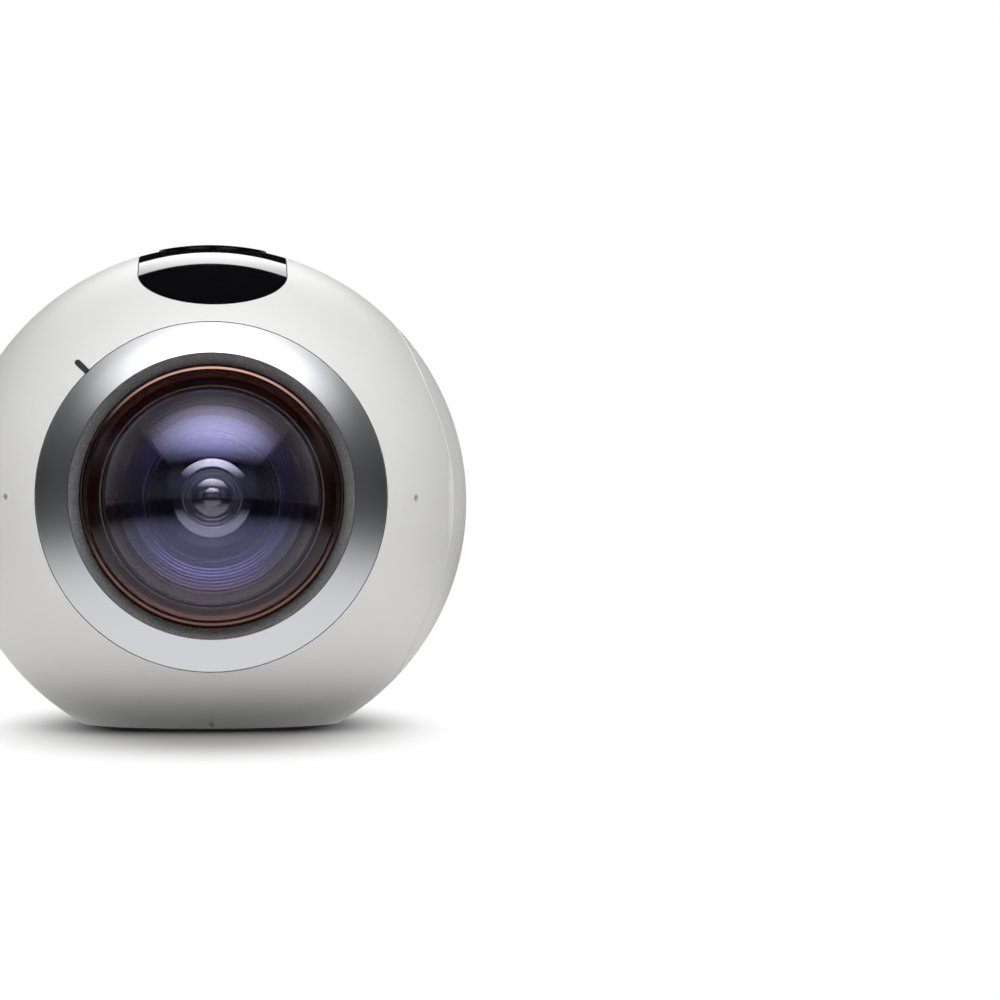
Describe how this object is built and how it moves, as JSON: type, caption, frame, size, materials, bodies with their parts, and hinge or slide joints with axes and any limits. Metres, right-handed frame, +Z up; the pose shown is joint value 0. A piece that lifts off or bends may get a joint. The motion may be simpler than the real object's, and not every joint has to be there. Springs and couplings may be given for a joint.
{
  "type": "360 degree camera",
  "caption": "Ball-shaped 360 degree camera with opposed dome lenses, a hinged battery door, push buttons, a top display panel and a tripod socket in its flat foot.",
  "frame": {"origin": "centre of the foot, on the plane that the camera stands on", "axes": "+Z up through the middle of the ball, -Y out of the front lens, +X out of the battery door"},
  "size_m": [0.06, 0.0668, 0.0564],
  "materials": {
    "housing_plastic": "semi-gloss white moulded plastic",
    "bezel_metal": "satin silver with a polished edge",
    "retainer_metal": "fine-textured dark grey",
    "dome_glass": "polished, coated",
    "lens_glass": "polished, coated",
    "copper_ring": "satin copper-brown",
    "black_metal": "matt black anodised",
    "sensor_package": "glossy dark package",
    "circuit_board": "solder mask",
    "flex_circuit": "amber film",
    "light_pipe": "smoked light guide",
    "screw_steel": "machined",
    "panel_black": "piano black",
    "display_glass": "dark display",
    "switch_metal": "stamped sheet",
    "seal_rubber": "matt black rubber",
    "bay_plastic": "dark grey moulded plastic",
    "battery_wrap": "dark wrapped cell",
    "contact_gold": "gold plated",
    "latch_plastic": "orange moulded plastic",
    "card_plastic": "black plastic",
    "socket_steel": "machined steel"
  },
  "bodies": {
    "camera_body": {"front_housing": "housing_plastic", "rear_housing": "housing_plastic", "front_bezel_ring": "bezel_metal", "rear_bezel_ring": "bezel_metal", "front_retainer_ring": "retainer_metal", "rear_retainer_ring": "retainer_metal", "front_dome_lens": "dome_glass", "rear_dome_lens": "dome_glass", "front_second_lens": "lens_glass", "rear_second_lens": "lens_glass", "front_inner_lens": "lens_glass", "rear_inner_lens": "lens_glass", "front_lens_seat": "copper_ring", "rear_lens_seat": "copper_ring", "front_lens_barrel": "black_metal", "rear_lens_barrel": "black_metal", "front_image_sensor": "sensor_package", "rear_image_sensor": "sensor_package", "front_sensor_board": "circuit_board", "rear_sensor_board": "circuit_board", "main_board": "circuit_board", "top_board": "circuit_board", "side_switch_board": "circuit_board", "front_sensor_flex": "flex_circuit", "rear_sensor_flex": "flex_circuit", "front_light_guide": "light_pipe", "rear_light_guide": "light_pipe", "front_lens_screws": "screw_steel", "rear_lens_screws": "screw_steel", "housing_screws": "screw_steel", "display_window": "panel_black", "display_module": "display_glass", "ok_switch": "switch_metal", "side_switches": "switch_metal", "processor_shield": "switch_metal", "memory_card_reader": "switch_metal", "usb_port": "switch_metal", "microphones": "switch_metal", "front_dome_seal": "seal_rubber", "rear_dome_seal": "seal_rubber", "door_strap": "seal_rubber", "foot_ring": "seal_rubber", "battery_bay": "bay_plastic", "chassis_base": "bay_plastic", "battery": "battery_wrap", "battery_contacts": "contact_gold", "speaker": "card_plastic", "tripod_socket": "socket_steel"},
    "ok_button": {"ok_button": "panel_black"},
    "menu_button": {"menu_button": "housing_plastic"},
    "power_button": {"power_button": "housing_plastic"},
    "door": {"battery_door": "housing_plastic", "door_inner_plate": "bay_plastic", "door_seal": "seal_rubber"},
    "latch": {"battery_latch": "latch_plastic"},
    "card": {"memory_card": "card_plastic"}
  },
  "joints": [
    {"name": "door_hinge", "type": "hinge", "parent": "camera_body", "child": "door", "pos_m": [0.02745, 0.0121, 0.0262], "axis": [0, 0, 1], "range_deg": [0, 100], "deforming": ["door_strap"]},
    {"name": "ok_press", "type": "slide", "parent": "camera_body", "child": "ok_button", "axis": [0, 0, -1], "range_m": [0, 0.0004], "stiffness_N_per_m": 800},
    {"name": "menu_press", "type": "slide", "parent": "camera_body", "child": "menu_button", "axis": [1, 0, 0], "range_m": [0, 0.0004], "stiffness_N_per_m": 800},
    {"name": "power_press", "type": "slide", "parent": "camera_body", "child": "power_button", "axis": [1, 0, 0], "range_m": [0, 0.0004], "stiffness_N_per_m": 800},
    {"name": "latch_slide", "type": "slide", "parent": "camera_body", "child": "latch", "axis": [0, 0, -1], "range_m": [0, 0.001], "stiffness_N_per_m": 200},
    {"name": "card_push", "type": "slide", "parent": "camera_body", "child": "card", "axis": [-1, 0, 0], "range_m": [0, 0.0008], "stiffness_N_per_m": 200}
  ]
}
